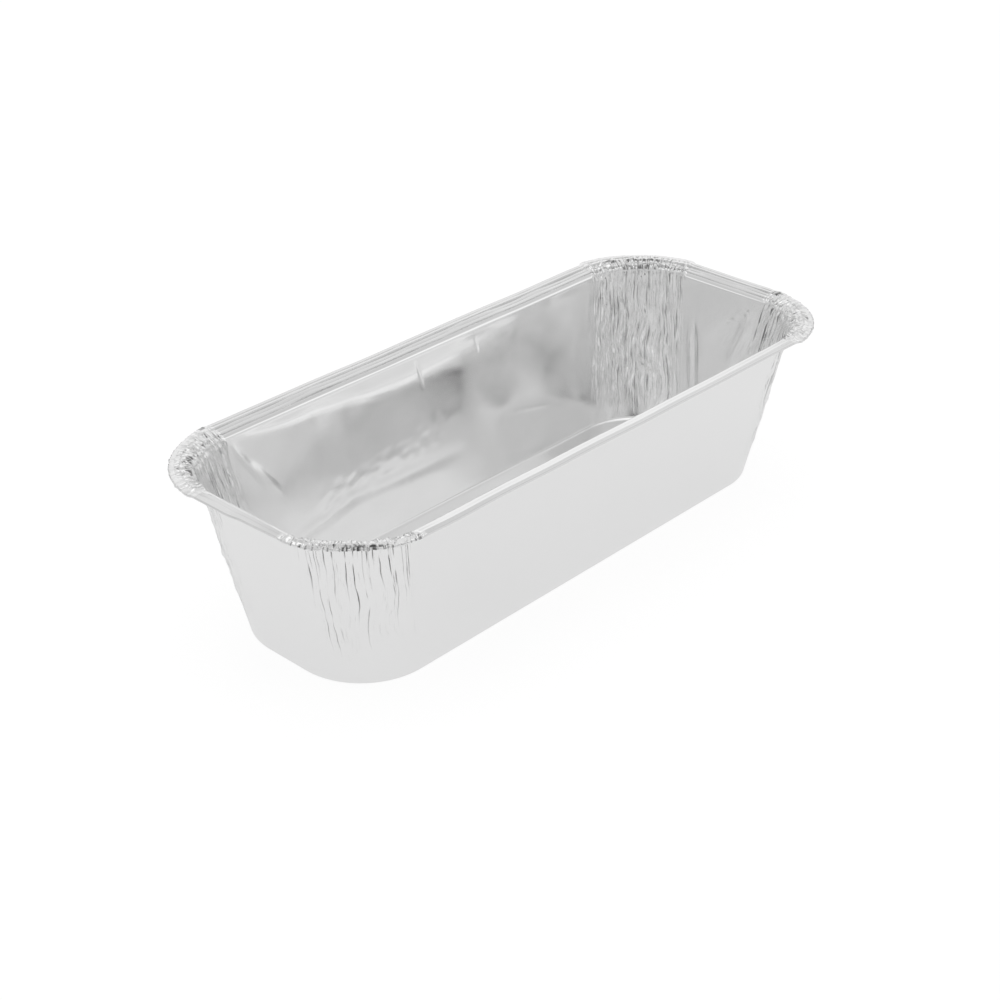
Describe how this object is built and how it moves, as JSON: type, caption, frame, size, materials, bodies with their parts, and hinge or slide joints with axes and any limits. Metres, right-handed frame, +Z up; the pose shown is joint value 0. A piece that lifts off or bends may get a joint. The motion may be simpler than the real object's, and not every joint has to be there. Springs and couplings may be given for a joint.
{
  "type": "foil loaf tray",
  "caption": "Oblong aluminium-foil baking tray with flared walls, pleated round corners, a rising flange and a hemmed rim, for baking and holding a loaf.",
  "frame": {"origin": "centre of the base's underside, on the surface that the tray stands on", "axes": "+X along the tray's length, +Y across it towards the back wall, +Z up out of the mouth"},
  "size_m": [0.273, 0.114, 0.066],
  "materials": {
    "foil_panel": "bright rolled foil, smooth",
    "foil_pleats": "bright rolled foil, gathered and creased",
    "foil_rim": "bright rolled foil, pressed flat"
  },
  "bodies": {
    "root": {"base_panel": "foil_panel", "heel_front": "foil_panel", "heel_right": "foil_panel", "heel_back": "foil_panel", "heel_left": "foil_panel", "heel_corner_front_right": "foil_panel", "heel_corner_back_right": "foil_panel", "heel_corner_back_left": "foil_panel", "heel_corner_front_left": "foil_panel", "wall_front": "foil_panel", "wall_right": "foil_panel", "wall_back": "foil_panel", "wall_left": "foil_panel", "pleats_front_right": "foil_pleats", "pleats_back_right": "foil_pleats", "pleats_back_left": "foil_pleats", "pleats_front_left": "foil_pleats", "flange_front": "foil_rim", "flange_right": "foil_rim", "flange_back": "foil_rim", "flange_left": "foil_rim", "flange_corner_front_right": "foil_pleats", "flange_corner_back_right": "foil_pleats", "flange_corner_back_left": "foil_pleats", "flange_corner_front_left": "foil_pleats", "hem_front": "foil_rim", "hem_right": "foil_rim", "hem_back": "foil_rim", "hem_left": "foil_rim", "hem_corner_front_right": "foil_rim", "hem_corner_back_right": "foil_rim", "hem_corner_back_left": "foil_rim", "hem_corner_front_left": "foil_rim"}
  },
  "joints": []
}
